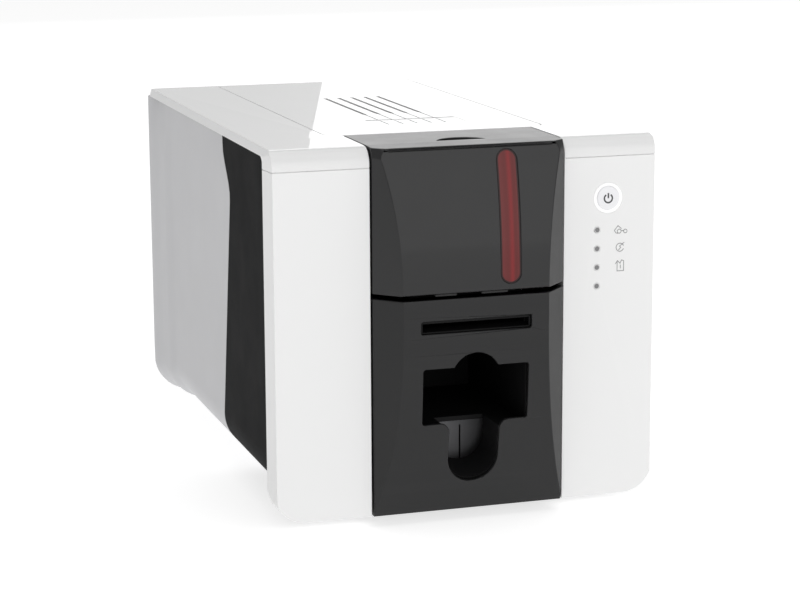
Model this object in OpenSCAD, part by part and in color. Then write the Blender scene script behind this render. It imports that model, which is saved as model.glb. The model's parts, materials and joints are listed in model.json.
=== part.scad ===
// Desktop card printer: a white front, top and lid around a black card
// section, grey sides that flare out to the rear, and the feeder, rollers,
// ribbon drive, print head and electronics inside.
// Frame: +Z up, the front faces -Y, +X is to the right when seen from the
// front, and the origin is on the table under the middle of the case.
// Millimetres.

/* [Case] */
// Width over the widest edges of the case
case_w = 205; // [204:0.5:206]
// Height from the table to the top face
case_h = 195; // [194.5:0.1:195.5]
// Set-back of the white front plane behind the tip of the black nose
nose_out = 13.4; // [12.8:0.1:13.6]
// Radius of the lower corners of the white front
front_r = 17; // [14:0.5:20]
// Radius of the rounded top front edge
top_r = 8.7; // [7:0.1:9]
// Height of the rounded lip between the top face and the front seam
lip_h = 10.1; // [9.8:0.1:11]
// Wall thickness of the moulded covers
wall = 2.4; // [2:0.1:2.8]

/* [Black section] */
// Half width of the black section
centre_hw = 50.7; // [50.2:0.1:50.9]
// Height of the top edge of the lower black panel
panel_top = 119.1; // [118.5:0.1:119.5]
// Gap between the lower black panel and the feeder door
door_gap = 2.6; // [2.4:0.1:3]
// Half width of the red gauge window
window_hw = 5.45; // [4:0.05:6]
// Half width of the thumb slot in the lower panel
thumb_hw = 13.4; // [11:0.1:14]

/* [Lid] */
// Half width of the lid
lid_hw = 59.8; // [59:0.05:60]
// Number of vent slots in the lid
vents = 5; // [3:1:7]
// Pitch of the vent slots
vent_pitch = 7.9; // [6:0.1:9]
// Width of a vent slot
vent_w = 2.2; // [1.6:0.1:2.6]

/* [Card transport] */
// Height of the underside of a card in the print path
card_z = 104.4; // [104.2:0.1:104.6]
// Card width
card_w = 54; // [54:0.1:54.2]
// Card length
card_l = 85.6; // [85.5:0.1:86]
// Radius of the platen roller
platen_r = 8; // [7.8:0.1:8]
// Radius of the transport rollers
feed_r = 7; // [6.8:0.1:7]
// Shaft radius of the driven rollers
shaft_r = 4; // [3.5:0.1:4.2]
// Running clearance between a shaft and its bush, on the radius
run_c = 0.05; // [0.02:0.01:0.09]

/* [Controls] */
// Radius of the power button
button_r = 6; // [5:0.1:6.2]
// Number of status lamps
lamps = 4; // [1:1:4]
// Pitch of the status lamps
lamp_pitch = 9.75; // [9:0.05:10]

/* [Hidden] */
$fn = 64;
HW = case_w/2;             // half width at the widest edges
ZT = case_h;               // top face
YN = -155;                 // tip of the nose
YF = YN+nose_out;          // white front plane
FW = HW-1.4;               // half width of the front plane
ZF = 6.2;                  // bottom of the white front
YR = -127.5;               // rear edge of the front rim
XB = HW-3.9;               // half width of the body behind the rim
ZB = 11.5;                 // bottom of the body
RB = 24;                   // corner radius of the body
YTR = 149.1;               // rear edge of the top face
YE = 155;                  // rear end of the side flare
ZS = ZT-lip_h;             // seam between the top cover and the front
GX = 51.5;                 // inner edge of the white front
LY = -93.4;                // front edge of the lid opening
DB = panel_top+door_gap;   // lower edge of the feeder door
HY = -148;                 // feeder door hinge axis
HZ = 128;
LHY = 143.5;               // lid hinge axis
LHZ = 187;
ZC = 113.1;                // height of the nose's foremost point
BX = 75.5;                 // power button
BZ = 163.3;
CZ = 52;                   // chassis plates, inner half spacing
CT = 1.5;                  // chassis sheet
GXP = -59;                 // gear plane, middle of the gear width
CW = card_w/2+0.4;         // half width of the card channel
// axes of the platen, entry and exit rollers and of the motor, in Y and Z
GP = [55,card_z-platen_r];
GE = [20,card_z-feed_r];
GO = [100,card_z-feed_r];
GM = [75,45];

white = [0.93,0.93,0.925];
grey = [0.76,0.76,0.765];
black = [0.13,0.13,0.135];
dark = [0.08,0.08,0.085];
steel = [0.72,0.73,0.74];
brass = [0.78,0.64,0.36];
rubber = [0.16,0.16,0.17];
nylon = [0.9,0.89,0.84];

// ---- helpers -------------------------------------------------------------
// 2D outline in X and Z, swept along Y from y0 to y1
module xz(y0,y1) { translate([0,y1,0]) rotate([90,0,0]) linear_extrude(y1-y0) children(); }
// 2D outline in Y and Z, swept along X from x0 to x1
module yz(x0,x1) { translate([x0,0,0]) rotate([90,0,90]) linear_extrude(x1-x0) children(); }
// box from one corner to the other
module bx(a,b) { translate(a) cube([b[0]-a[0],b[1]-a[1],b[2]-a[2]]); }
// round bar along X from x0 to x1
module rx(x0,x1,y,z,r) { translate([x0,y,z]) rotate([0,90,0]) cylinder(r=r,h=x1-x0); }
// round bar along Y from y0 to y1
module ry(y0,y1,x,z,r) { translate([x,y1,z]) rotate([90,0,0]) cylinder(r=r,h=y1-y0); }
// outline with rounded lower corners
module trough(w,z0,z1,r) {
  translate([-w,z0+r]) square([2*w,z1-z0-r]);
  translate([-w+r,z0]) square([2*w-2*r,r+0.01]);
  for (s=[-1,1]) translate([s*(w-r),z0+r]) circle(r);
}
// upright slot outline with round ends
module stadium(x,z0,z1,r) {
  translate([x-r,z0+r]) square([2*r,z1-z0-2*r]);
  for (z=[z0+r,z1-r]) translate([x,z]) circle(r);
}
// rounded rectangle
module rrect(x0,z0,x1,z1,r) {
  translate([x0+r,z0]) square([x1-x0-2*r,z1-z0]);
  translate([x0,z0+r]) square([x1-x0,z1-z0-2*r]);
  for (x=[x0+r,x1-r]) for (z=[z0+r,z1-r]) translate([x,z]) circle(r,$fn=32);
}
module mirrored() { children(); mirror([1,0,0]) children(); }
function smooth(t) = let(u=max(0,min(1,t))) u*u*(3-2*u);

// ---- nose of the black section -------------------------------------------
// how far the nose stands out of the white front at height z
function nd(z) = z<ZC ? nose_out-8.44*pow((ZC-z)/90.8,2.6)
                      : nose_out-6.37*pow((z-ZC)/67.1,2.32);
function yn(z) = YF-nd(z);
// plan outline: straight step, then 45 degree bevels; t moves it inwards
module nose_plan(t) {
  w = centre_hw-0.95*t; q = 0.42*t;
  polygon([[-w,-60],[-w,YF-1.2+q],[-(w-12.4),YF-1.2-12.4+q],[w-12.4,YF-1.2-12.4+q],[w,YF-1.2+q],[w,-60]]);
}
// curved front between z0 and z1, moved back by t, closed at y = yb
module nose_side(z0,z1,t,yb,n=40) {
  polygon(concat([[yb,z0]],[for (i=[0:n]) let(z=z0+(z1-z0)*i/n) [yn(z)+t,z]],[[yb,z1]]));
}
module lower_nose(t,z0,z1,yb) {
  intersection() {
    yz(-60,60) nose_side(z0,z1,t,yb);
    linear_extrude(200) nose_plan(t);
  }
}

// ---- case ----------------------------------------------------------------
// section of the top cover's front lip, from the top face down to the seam
module lip_side(t) {
  r = top_r-t; cy = YF+top_r; cz = ZT-top_r;
  difference() {
    union() {
      translate([cy,cz]) circle(r);
      translate([cy,ZS-1]) square([16,ZT-t-ZS+1]);
      translate([YF+t,ZS-1]) square([top_r,cz-ZS+1]);
    }
    translate([YF-5,ZS-3]) square([30,3+(t>0?-0.5:0)]);
  }
}
// plan outline of the white front and its rim, half width grows to the rear
module rim_plan(t,yb) {
  polygon([[-(FW-t),YF],[FW-t,YF],[HW-t,YR],[HW-t,yb],[-(HW-t),yb],[-(HW-t),YR]]);
}
// plan outline of the top cover, its rear corners rounded to r
module cover_plan(r) {
  polygon([[-FW,YF],[FW,YF],[HW,YR],[HW,YTR-r],[HW-r,YTR-r],[HW-r,YTR],[-(HW-r),YTR],[-(HW-r),YTR-r],[-HW,YTR-r],[-HW,YR]]);
  for (s=[-1,1]) translate([s*(HW-r),YTR-r]) circle(r);
}
module top_band() { polygon([[-(HW-1.7),ZT],[HW-1.7,ZT],[HW,ZT-4],[HW,ZT-4.001],[HW,ZS-2],[-HW,ZS-2],[-HW,ZT-4]]); }
module top_cover() color(white) {
  difference() {
    union() {
      // side wings with their bevelled edge band
      difference() {
        intersection() {
          xz(YF+top_r,YTR) polygon([[-(HW-1.7),ZT],[HW-1.7,ZT],[HW,ZT-4],[-HW,ZT-4]]);
          linear_extrude(300) cover_plan(5);
        }
        mirrored() bx([63,YF+14,ZT-6],[HW-2.8,YTR-2.6,ZT-2.6]);
      }
      // rounded front lip
      difference() {
        intersection() {
          yz(-HW,HW) lip_side(0);
          linear_extrude(300) rim_plan(0,YR);
          xz(YF-1,YR) top_band();
        }
        mirrored() intersection() {
          yz(GX+2.4,HW-wall) lip_side(2.6);
          linear_extrude(300) rim_plan(wall,YR+1);
        }
      }
      // fillet between the band and the rim
      mirrored() yz(HW-3.2,HW-0.1) difference() {
        translate([YR-1,ZT-8.4]) square([5.4,4.5]);
        translate([YR+4.4,ZT-8.4]) circle(4.4);
      }
      // rear lip
      mirrored() bx([62.5,YTR-2.6,ZS],[HW-6.8,YTR,ZT-3]);
      // ledge that the lid and the feeder door close on
      difference() {
        bx([-66,-102,188.2],[66,138,191.2]);
        bx([-54,-86,187],[54,128,192]);
      }
      mirrored() bx([62.5,-102,190],[66,138,193]);
      // screw bosses that meet the chassis
      mirrored() for (y=[-90,110]) translate([60,y,186.2]) cylinder(r=3.6,h=3);
    }
    // lid opening with rounded front corners
    translate([0,0,191.2]) linear_extrude(10) {
      translate([-60.3,LY+9]) square([120.6,300]);
      translate([-51.3,LY]) square([102.6,20]);
      for (s=[-1,1]) translate([s*51.3,LY+9]) circle(9);
    }
    // room for the ribs and the hinge under the lid
    bx([-54,-86,187],[54,128,192]);
    bx([-60.3,138,180],[60.3,160,193]);
    // door opening
    bx([-GX,-160,ZS-5],[GX,-102,ZT+1]);
    bx([-GX,-103,191.2],[GX,LY+1,ZT+1]);
    mirrored() for (y=[-90,110]) translate([60,y,185]) cylinder(r=1.3,h=4.5,$fn=24);
  }
}

module lid() color(white) {
  difference() {
    union() {
      translate([0,0,192]) linear_extrude(3) {
        translate([-lid_hw,LY+9]) square([2*lid_hw,YTR-LY-9]);
        translate([-lid_hw+8.7,LY+0.4]) square([2*lid_hw-17.4,20]);
        for (s=[-1,1]) translate([s*(lid_hw-8.7),LY+9.1]) circle(8.7);
      }
      // stiffening ribs
      mirrored() bx([50,-83,188.5],[51.6,124,192.1]);
      for (y=[-83,-30,20,84,122.4]) bx([-50.5,y,189],[50.5,y+1.6,192.1]);
      // posts for the head bracket
      mirrored() bx([24,50,170],[31,66,192.1]);
      // hinge knuckles
      mirrored() for (x=[34,44.2]) {
        rx(x,x+4.8,LHY,LHZ,4);
        bx([x,LHY-4,LHZ],[x+4.8,LHY+3,192.1]);
      }
    }
    for (i=[0:vents-1]) let(x=(i-(vents-1)/2)*vent_pitch) {
      bx([x-vent_w/2,-15.2,180],[x+vent_w/2,64.7,196]);
      bx([x-0.5,-59.7,194.5],[x+0.5,-15,196]);
    }
    // crease across the front of the lid and the faint panel in its middle
    bx([-54,-40.7,194.75],[54,-40.3,196]);
    bx([27.2,-58.5,194.75],[27.6,-40.5,196]);
    bx([-23,-42.5,194.6],[27,-38.6,196]);
    mirrored() rx(33,50,LHY,LHZ,2+run_c);
  }
}
module hinge_brackets() color(steel) { lid_brackets(); door_bracket(); }
module hinge_pins() color(steel) {
  mirrored() rx(33.6,49.4,LHY,LHZ,2);
  rx(-21.3,17.3,HY,HZ,2);
}
module lid_brackets() mirrored() difference() {
  union() {
    rx(39.6,43.4,LHY,LHZ,4);
    yz(39.6,43.4) polygon([[129.6,165],[LHY+3,LHZ-3],[LHY-3.2,LHZ+2],[129.6,182]]);
    bx([36,129.6,165],[47,131.6,181]);
  }
  rx(39,44,LHY,LHZ,2);
  for (z=[169,177]) ry(129,133,45.2,z,1.1);
}

module fascia_shell() {
  difference() {
    intersection() {
      xz(YF,YR) trough(HW,ZF,ZS-0.25,front_r);
      linear_extrude(300) rim_plan(0,YR);
    }
    intersection() {
      xz(YF+wall,YR+1) trough(HW-wall,ZF+wall,ZS+1,front_r-wall);
      linear_extrude(300) rim_plan(wall,YR+1);
    }
    bx([-GX,YF-1,0],[GX,YR+1,200]);
  }
}
// half of the shell on the side s, with its inner flange and bosses
module fascia_half(s) {
  intersection() {
    fascia_shell();
    bx([s>0?0:-200,-300,0],[s>0?200:0,300,300]);
  }
  bx([s>0?GX:-GX-2,YF+1,ZF+1],[s>0?GX+2:-GX,-129,ZS-2]);
  // tongue behind the seam under the top cover's lip
  intersection() {
    translate([0,0,ZS-2]) linear_extrude(1.97) difference() {
      translate([0,0.5]) rim_plan(0.5,YR+4);
      translate([0,1.6]) rim_plan(1.6,YR+5);
    }
    bx([s>0?GX:-HW,-200,0],[s>0?HW:-GX,YR,300]);
  }
  for (z=[30,100,176]) difference() {
    ry(YF+1,-129,s*92,z,3.4);
    ry(YF+4,-128,s*92,z,1.3);
  }
}
module fascia_left() color(white) fascia_half(-1);
module fascia_right() color(white) difference() {
  fascia_half(1);
  ry(YF-1,YF+4,BX,BZ,7.8);
  for (i=[0:lamps-1]) ry(YF-1,YF+4,69.8,147-lamp_pitch*i,1.6);
}

// front edge line of the grey side panels, seen from the side
function yb(z) = z>=156 ? -41+14.5*smooth((z-158)/26) : -41+(156-z)*0.1835;
module behind_edge(t) {
  yz(-120,120) polygon(concat([for (z=[0:5:200]) [yb(z)+t,z]],[[200,200],[200,0]]));
}
module body_collar() color(black) difference() {
  xz(YF+3.6,20) difference() {
    trough(XB,ZB,190.7,RB);
    trough(XB-wall,ZB+wall,200,RB-wall);
  }
  behind_edge(-0.3);
  // relief for the bosses and flanges of the white front
  mirrored() for (z=[30,100,176]) ry(-140,-128,92,z,4.2);
  mirrored() bx([48,-140,5],[53.8,-128.6,15]);
  bx([-120,-140,188.4],[120,-132.6,195]);
  for (s=[-1,1]) translate([s*52,-100,0]) cylinder(r=3.05,h=30);
}

// the side flare: 0 on the flat side, 1 at the rear ridge
function flare(y,z) = let(t=smooth((z-163)/26),y0=104+32*t,y1=130+11*t)
  0.5*smooth((y-y0)/13)+0.5*smooth((y-y1)/max(8,146-y1));
function fy(y,z) = let(f=min(1,max(0,flare(y,z)))) f;
// rounding of the rear ridge
function ridge(y) = y<=150 ? 0 : 4.6*(1-sqrt(max(0,1-pow((y-150)/5.2,2))));
PY = concat([-45,60],[for (y=[100:3:148]) y],[150,151.6,153,154.1,YE]);
// one cross-section: i runs down the side, round the corner and along the floor
PN = 22;
function sec(y,t) = [for (i=[0:PN]) let(
    zz = i<=10 ? 190.7-(190.7-ZB-RB)*i/10 : ZB+RB,
    f = fy(y,zz), g = ridge(y),
    X = XB+3.9*f-g-t, Z0 = ZB-2.5*fy(y,100)+g+t, R = RB-4*fy(y,100)-t,
    a = (i-10)*90/11)
  i<=10 ? [-X,y,zz] :
  i<=21 ? [-X+R-R*cos(a),y,Z0+R-R*sin(a)] : [-39.7,y,Z0]];
module side_skin(t,ext) {
  ys = [for (j=[0:len(PY)-1]) j==0?PY[0]-ext:j==len(PY)-1?PY[j]+ext:PY[j]];
  n = PN+1; m = len(ys);
  // the outline is closed through an inner line at x = -39.7
  pts = [for (j=[0:m-1]) let(s=sec(PY[j],t)) each concat(
      [for (i=[0:PN]) [s[i][0],ys[j],s[i][2]]], [[-39.7,ys[j],190.7]])];
  k = n+1;
  faces = concat([for (i=[0:k-3]) [k-1,i+1,i]],[for (i=[0:k-3]) [(m-1)*k+k-1,(m-1)*k+i,(m-1)*k+i+1]],
    [for (j=[0:m-2]) for (i=[0:k-1]) let(a=j*k+i,b=j*k+(i+1)%k,c=a+k,d=b+k) each [[a,d,c],[a,b,d]]]);
  polyhedron(pts,faces,convexity=6);
}
module side_panel() difference() {
  side_skin(0,0);
  difference() {
    side_skin(wall,3);
    bx([-60,-80,0],[-30,200,ZB-2.5+wall+0.6]);
  }
  bx([-60,-80,16],[-30,200,200]);
  difference() { bx([-120,-80,0],[0,40,220]); behind_edge(0); }
  translate([-52,125,0]) cylinder(r=3.05,h=30);
}
module side_panel_left() color(grey) side_panel();
module side_panel_right() color(grey) mirror([1,0,0]) side_panel();

module rear_panel() color(black) difference() {
  union() {
    xz(147,149.4) trough(93.5,15,183.6,17);
    // shallow frame round the sockets
    xz(146,149.8) rrect(56,30,86,112,3);
  }
  bx([-61.5,140,179],[61.5,160,190]);
  // sockets: network, data, power
  xz(140,160) translate([61,33]) square([14.4,17.2]);
  xz(140,160) translate([61,60]) square([12.4,13.2]);
  ry(140,160,70,92,7.6);
  // security slot
  xz(140,160) rrect(-84,30,-77,33.2,1.5);
  // fan grille and air slots
  for (i=[0:9]) bx([-86+5*i,140,112],[-83.4+5*i,160,152]);
  for (i=[0:7]) bx([48+5*i,140,126],[50.6+5*i,160,156]);
  mirrored() for (z=[24,172]) ry(140,160,86,z,1.6);
}
// recessed-head screws of the rear panel, of the hinge brackets and of the
// top cover
module screw(l) {
  difference() { cylinder(r=2.6,h=1.8); for (a=[0,90]) rotate(a) translate([-1.7,-0.35,0.8]) cube([3.4,0.7,2]); }
  translate([0,0,-l]) cylinder(r=1.3,h=l+0.1,$fn=24);
}
module case_screws() color(steel) {
  mirrored() for (z=[24,172]) translate([86,149.4,z]) rotate([-90,0,0]) screw(8);
  mirrored() for (y=[-90,110]) translate([60,y,184.7]) mirror([0,0,1]) screw(4.6);
}
module base_plate() color(black) difference() {
  union() {
    bx([-60,-126,14.1],[60,146.5,17]);
    bx([-39.4,-6,ZB],[39.4,146.5,14.2]);
  }
  for (x=[-52,52]) for (y=[-100,125]) translate([x,y,10]) cylinder(r=3,h=10);
  for (i=[0:6]) for (s=[-1,1]) bx([s*20-14,20+9*i,0],[s*20+14,24+9*i,30]);
}
module feet() color(rubber)
  for (x=[-52,52]) for (y=[-100,125]) translate([x,y,0]) {
    cylinder(r1=7,r2=8,h=2);
    translate([0,0,2]) cylinder(r=8,h=(y>0?ZB-1.4:ZB)-2);
    translate([0,0,5]) cylinder(r=3,h=12);
  }

// ---- black section -------------------------------------------------------
module lower_front_panel() color(black) difference() {
  union() {
    difference() {
      lower_nose(0,ZF,panel_top,-131);
      difference() {
        lower_nose(wall,ZF+wall,panel_top+1,-130);
        bx([-60,-160,0],[60,-140,ZF+wall]);
      }
    }
    // rib under the card slot
    bx([-36,-153.6,96.4],[36,-147.5,99.6]);
  }
  // recess of the manual card slot
  xz(-170,-140) rrect(-29.4,101.7,29.4,108.4,1.6);
  // output opening, its round top and the thumb slot
  xz(-170,-140) {
    rrect(-28.1,54.5,28.1,83.7,1.6);
    translate([0,77.8]) circle(13);
    translate([-thumb_hw,22.1+thumb_hw]) square([2*thumb_hw,30]);
    translate([0,22.1+thumb_hw]) circle(thumb_hw);
    for (s=[-1,1]) difference() {
      translate([s>0?thumb_hw-0.01:-thumb_hw-4.8,49.7]) square([4.81,4.9]);
      translate([s*(thumb_hw+4.8),49.7]) circle(4.8);
    }
  }
}
// mouth of the manual card slot, with a sloping lower lip
module slot_mouth() difference() {
  xz(-153.4,-139.5) rrect(-29.2,101.9,29.2,108.2,1.4);
  yz(-28.2,28.2) polygon([[-156,102.0],[-148.6,103.7],[-148.6,105.9],[-156,107.6]]);
  bx([-CW,-150,card_z-0.7],[CW,-139,card_z+1.3]);
}
module output_hopper() color(dark) difference() {
  union() {
    bx([-29.8,-150.2,48.6],[29.8,-60,91]);
    // thumb trough
    bx([-15.4,-149.6,26],[15.4,-126,50]);
    intersection() {
      bx([-16,-149.6,18],[16,-126,60]);
      translate([0,-150,35.5]) rotate([15.6,0,0]) ry(-10,40,0,0,15.4);
    }
  }
  bx([-27.8,-160,51],[27.8,-62,95]);
  // room over the opening's round top, and the chute from the diverter
  bx([-14,-160,80],[14,-144,95]);
  bx([-27.8,-80,84],[27.8,-50,95]);
  difference() {
    union() {
      translate([0,-150,35.5]) rotate([15.6,0,0]) ry(-20,60,0,0,thumb_hw);
      yz(-thumb_hw,thumb_hw) polygon([[-160,32.7],[-120,43.9],[-120,60],[-160,60]]);
    }
    bx([-40,-125.9,0],[40,0,60]);
    bx([-40,-125.9,60],[40,0,99]);
  }
  bx([-thumb_hw,-160,48],[thumb_hw,-125.9,60]);
  // the case front leaves the hopper's sides free
  difference() {
    bx([-40,-160,10],[40,-139,100]);
    lower_nose(wall+0.25,9,101,-60);
  }
}
module card_guides() color(dark) {
  slot_mouth();
  difference() {
    bx([-30,-139.8,101.2],[30,-8,108.2]);
    bx([-CW,-150,card_z-0.7],[CW,0,card_z+1.3]);
    // roller and belt relief
    bx([-16,-71,105.5],[16,-53,110]);
    for (i=[0:3]) bx([-24,-134+26*i,100],[24,-130+26*i,103.8]);
  }
  // side lugs on the chassis plates
  mirrored() for (y=[-118,-20]) bx([29.9,y,101.2],[52,y+6,104.2]);
}
module door_shape() {
  union() {
    // top plate with its rounded edge, level with the top cover
    yz(-centre_hw,centre_hw) {
      translate([-132.3,184.5]) intersection() {
        circle(10.5);
        translate([-11,0]) square([11,11]);
      }
      translate([-132.3,150]) square([132.3+LY-0.5,45]);
      translate([YF-1.2,DB]) square([30,184.5-DB]);
    }
    intersection() {
      yz(-60,60) polygon(concat([[-120,DB],[yn(DB)+0.8,DB]],
        [for (i=[0:44]) let(z=DB+0.8+(194.6-DB-0.8)*i/44) [yn(z),z]],[[-131,ZT],[-120,ZT]]));
      linear_extrude(300) nose_plan(0);
      // rounded upper corners of the front face
      union() {
        bx([-41,-170,0],[41,0,300]);
        bx([-60,-170,0],[60,0,187.7]);
        for (s=[-1,1]) translate([s*41.2,-150,187.7]) rotate([-90,0,0]) cylinder(r1=2.5,r2=40,h=37.5);
      }
    }
  }
}
module feeder_door() color(black) difference() {
  union() {
    difference() {
      door_shape();
      // hollow inside
      intersection() {
        yz(-60,60) polygon(concat([[-60,DB-1]],
          [for (i=[0:40]) let(z=DB-1+(190-DB+1)*i/40) [yn(z)+2.6,z]],[[-137,191.2],[-132,192.4],[-60,192.4]]));
        linear_extrude(300) nose_plan(2.4);
      }
      // the cheeks are only an edge behind the front and under the top
      bx([-60,-129.9,DB-1],[60,-60,178]);
      bx([-60,-103.6,DB-1],[60,-60,192.4]);
    }
    // pocket behind the finger notch
    bx([-15,-131,187.4],[15,-116,192.5]);
    // hinge lugs
    for (x=[[-21.3,-9.8],[3.1,17.3]]) {
      rx(x[0],x[1],HY,HZ,4.2);
      yz(x[0],x[1]) polygon([[-152.9,120.2],[-151,120.2],[HY+1,HZ-4],[HY,HZ+4.1],[-153,134]]);
    }
  }
  // shadow line under the front edge of the top plate
  bx([-43,-150,192.9],[43,-144.3,194]);
  // finger notch
  difference() {
    translate([0.5,-128.5,189.4]) intersection() {
      translate([0,-5,0]) cylinder(r=14,h=10);
      bx([-20,0,-1],[20,30,20]);
    }
    bx([-20,-200,188],[20,-128.5,196]);
  }
  // gauge window
  xz(-170,-135) stadium(18.3,125,191.9,window_hw);
  rx(-22,18,HY,HZ,2+run_c);
}
module gauge_window() color([0.5,0.1,0.12,0.7]) difference() {
  intersection() {
    xz(-160,-138) stadium(18.3,125.15,191.75,window_hw-0.15);
    yz(0,40) nose_side(120,194.4,0.35,-120);
  }
  yz(0,40) nose_side(110,200,2.4,-100);
}
module door_bracket() difference() {
  union() {
    rx(-9.3,2.6,HY,HZ,3.6);
    bx([-9.3,HY,124.6],[2.6,-138.6,HZ+3.6]);
  }
  rx(-10,3,HY,HZ,2);
}

// ---- feeder --------------------------------------------------------------
module feeder_box() color(dark) difference() {
  bx([-30,-138.6,117.4],[30,-46,166]);
  bx([-CW-0.3,-50.6-card_l,119.6],[CW+0.3,-48.4,170]);
  // open front above the sill, for the gauge window
  bx([-CW-0.3,-150,133],[CW+0.3,-130,170]);
  // exit gate for the lowest card
  bx([-27.5,-52,119.6],[27.5,-40,120.9]);
  // pick roller opening, and room for its shaft
  rx(-31,31,-62,113.6,shaft_r+0.4);
  bx([-14,-70,110],[14,-54,121]);
  // guide slots of the card weight
  mirrored() bx([20,-94,121.8],[40,-88.6,163]);
}
module card_weight() color(grey) {
  bx([-26.8,-134,122.4],[26.8,-52,125.4]);
  for (y=[-120,-92.5,-64]) bx([-22,y,125.3],[22,y+2.4,131]);
  bx([-29.6,-92.4,122.4],[29.6,-90.2,125.4]);
}
module pick_shaft() color(steel) rx(-74,55,-62,113.6,shaft_r);
module pick_roller() color(rubber) difference() {
  rx(-12,12,-62,113.6,6.4);
  rx(-13,13,-62,113.6,shaft_r);
}
// timing pulley with flanges, bore to the shaft
module pulley(y,z) difference() {
  union() {
    rx(-73.6,-66.4,y,z,8);
    rx(-74.6,-73.6,y,z,10);
    rx(-66.4,-65.4,y,z,10);
  }
  rx(-80,-60,y,z,shaft_r);
}
module pick_pulley() color(nylon) pulley(-62,113.6);
BA = atan2(GE[1]-113.6,82);  // slope of the belt
module belt_outline(r) translate([-62,113.6]) rotate(BA) {
  l = norm([82,GE[1]-113.6]);
  circle(r); translate([l,0]) circle(r);
  translate([0,-r]) square([l,2*r]);
}
module feed_belt() color(rubber) yz(-73,-67) difference() { belt_outline(9.5); belt_outline(8.2); }

// ---- transport -----------------------------------------------------------
module sleeve(x0,x1,y,z,r,rs) difference() { rx(x0,x1,y,z,r); rx(x0-1,x1+1,y,z,rs); }
module diverter_flap() color(dark) {
  rx(-50,50,8,99.6,2);
  for (x=[-24,-8,8,24]) yz(x-2,x+2) polygon([[6,98.4],[-6.6,99],[-6.6,100.4],[7.2,101.5]]);
}
module entry_shaft() color(steel) rx(-74.4,55,GE[0],GE[1],shaft_r);
module entry_roller() color(rubber) for (s=[-1,1]) sleeve(s*14-9,s*14+9,GE[0],GE[1],feed_r,shaft_r);
module entry_pinch_roller() color(steel) { rx(-27,27,20,109.9,4.4); rx(-53.4,53.4,20,109.9,3); }
module cleaning_roller() color([0.2,0.35,0.6]) { rx(-28,28,-2.4,110.4,5); rx(-53.4,53.4,-2.4,110.4,2); }
module platen_shaft() color(steel) rx(-62.4,55,GP[0],GP[1],shaft_r);
module platen_roller() color(rubber) sleeve(-29,29,GP[0],GP[1],platen_r,shaft_r);
module exit_shaft() color(steel) rx(-62.4,55,GO[0],GO[1],shaft_r);
module exit_roller() color(rubber) for (s=[-1,1]) sleeve(s*14-9,s*14+9,GO[0],GO[1],feed_r,shaft_r);
module exit_pinch_roller() color(steel) { rx(-27,27,100,109.9,4.4); rx(-53.4,53.4,100,109.9,3); }

// spur gear of module 1 in the YZ plane with n teeth, a tooth at angle ph
function gp(n,k,r,da) = let(a=360*k/n+da) [r*cos(a),r*sin(a)];
module gear2d(n,ph) rotate(ph) polygon([for (k=[0:n-1]) each [
  gp(n,k,n/2-1.15,-0.29*360/n), gp(n,k,n/2,-0.235*360/n), gp(n,k,n/2+0.72,-0.13*360/n),
  gp(n,k,n/2+0.72,0.13*360/n), gp(n,k,n/2,0.235*360/n), gp(n,k,n/2-1.15,0.29*360/n)]]);
// the phase that puts gear b in mesh with gear a, seen along the line of centres
function mesh(tha,na,nb,be) = be+180+(180-(tha-be)*na)/nb;
function dir(a,b) = atan2(b[1]-a[1],b[0]-a[0]);
// centre that lies ra from a and rb from b, on the side s
function apex(a,b,ra,rb,s) = let(d=norm(b-a),u=(ra*ra-rb*rb+d*d)/(2*d),h=sqrt(ra*ra-u*u),e=(b-a)/d)
  a+e*u+s*h*[-e[1],e[0]];
GI1 = apex(GP,GE,17.56,17.56,1);    // entry idler, 11 teeth
GI2 = apex(GP,GO,22.56,22.56,1);    // exit idler, 21 teeth
GR = apex(GP,GM,32.06,26.06,-1);    // reduction gear, 40 teeth
PP = 0;                              // platen gear phase
PI1 = mesh(PP,24,11,dir(GP,GI1));
PE = mesh(PI1,11,24,dir(GI1,GE));
PI2 = mesh(PP,24,21,dir(GP,GI2));
PO = mesh(PI2,21,24,dir(GI2,GO));
PR = mesh(PP,24,40,dir(GP,GR));
PM = mesh(PR,40,12,dir(GR,GM));
module gear(c,n,ph,w=6) yz(GXP-w/2,GXP+w/2) translate(c) gear2d(n,ph);
module shaft_gear(c,n,ph,r) difference() {
  union() { gear(c,n,ph); rx(GXP-3.4,GXP+4.2,c[0],c[1],r+2.6); }
  rx(GXP-10,GXP+10,c[0],c[1],r);
}
module platen_gear() color(nylon) shaft_gear(GP,24,PP,shaft_r);
// moulded in one piece with the belt pulley
module entry_gear() color(nylon) {
  shaft_gear(GE,24,PE,shaft_r);
  pulley(GE[0],GE[1]);
  sleeve(-65.5,GXP-3.3,GE[0],GE[1],shaft_r+2.6,shaft_r);
}
module exit_gear() color(nylon) shaft_gear(GO,24,PO,shaft_r);
// an idler turns on a stub pin riveted into the left chassis plate
module idler(c,n,ph,r) difference() { union() { gear(c,n,ph); rx(GXP-3.2,GXP+4,c[0],c[1],r+1.5); } rx(GXP-10,GXP+10,c[0],c[1],r+run_c); }
module entry_idler() color(nylon) idler(GI1,11,PI1,1.6);
module exit_idler() color(nylon) idler(GI2,21,PI2,2);
module reduction_gear() color(nylon) idler(GR,40,PR,2.5);
module drive_motor() color([0.2,0.2,0.21]) {
  difference() {
    xm = -CZ+0.1;
    bx([xm,GM[0]-20,GM[1]-20],[xm+32,GM[0]+20,GM[1]+20]);
    for (a=[0:90:270]) translate([xm-1,GM[0],GM[1]]) rotate([a,0,0]) translate([0,20,20]) rotate([45,0,0]) cube([40,6,6],center=true);
    rx(xm-1,xm+40,GM[0],GM[1],2.5+run_c);
  }
}
module motor_pinion() color(brass) {
  rx(-62.4,-22,GM[0],GM[1],2.5);
  gear(GM,12,PM);
}
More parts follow.
